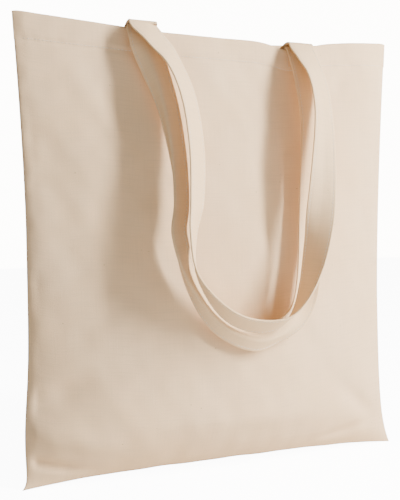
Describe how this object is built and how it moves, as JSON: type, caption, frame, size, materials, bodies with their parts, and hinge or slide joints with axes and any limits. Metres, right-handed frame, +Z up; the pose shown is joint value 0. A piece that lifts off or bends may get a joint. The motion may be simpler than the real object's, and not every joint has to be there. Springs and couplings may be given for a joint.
{
  "type": "tote_bag",
  "caption": "A natural cotton canvas tote bag, standing full, with two long strap handles that hang over its front and swing up to carry.",
  "frame": {"origin": "middle of the flat base, on the floor", "axes": "+X towards the right-hand side seam seen from the front, +Y towards the rear panel, +Z up towards the mouth"},
  "size_m": [0.38, 0.1312, 0.42],
  "materials": {
    "canvas": "unbleached plain-weave cotton canvas, matt",
    "strap": "folded and stitched canvas strap, matt",
    "thread": "off-white sewing thread"
  },
  "bodies": {
    "bag": {"front_panel": "canvas", "rear_panel": "canvas", "front_hem": "canvas", "rear_hem": "canvas", "left_side_seam": "canvas", "right_side_seam": "canvas", "bottom_seam": "canvas", "left_side_overlock": "thread", "right_side_overlock": "thread", "bottom_overlock": "thread", "front_hem_stitch": "thread", "rear_hem_stitch": "thread", "front_handle_left_tab": "strap", "front_handle_right_tab": "strap", "rear_handle_left_tab": "strap", "rear_handle_right_tab": "strap", "front_left_tack": "thread", "front_right_tack": "thread", "rear_left_tack": "thread", "rear_right_tack": "thread"},
    "front_handle": {"front_handle": "strap", "front_handle_stitching": "thread"},
    "rear_bridge": {"rear_handle_left_bridge": "strap", "rear_handle_right_bridge": "strap"},
    "rear_handle": {"rear_handle": "strap", "rear_handle_stitching": "thread"}
  },
  "joints": [
    {"name": "front_handle_swing", "type": "hinge", "parent": "bag", "child": "front_handle", "pos_m": [0, -0.01537, 0.40947], "axis": [-1, 0, 0], "range_deg": [0, 170]},
    {"name": "rear_handle_lift", "type": "hinge", "parent": "bag", "child": "rear_bridge", "pos_m": [0, 0.01537, 0.41563], "axis": [-1, 0, 0], "range_deg": [0, 85]},
    {"name": "rear_handle_unfold", "type": "hinge", "parent": "rear_bridge", "child": "rear_handle", "pos_m": [0, -0.02737, 0.41747], "axis": [-1, 0, 0], "range_deg": [0, 85]}
  ],
  "couplings": [
    {"joint": "rear_handle_lift", "follows": "front_handle_swing", "ratio": 0.5},
    {"joint": "rear_handle_unfold", "follows": "front_handle_swing", "ratio": 0.5}
  ]
}
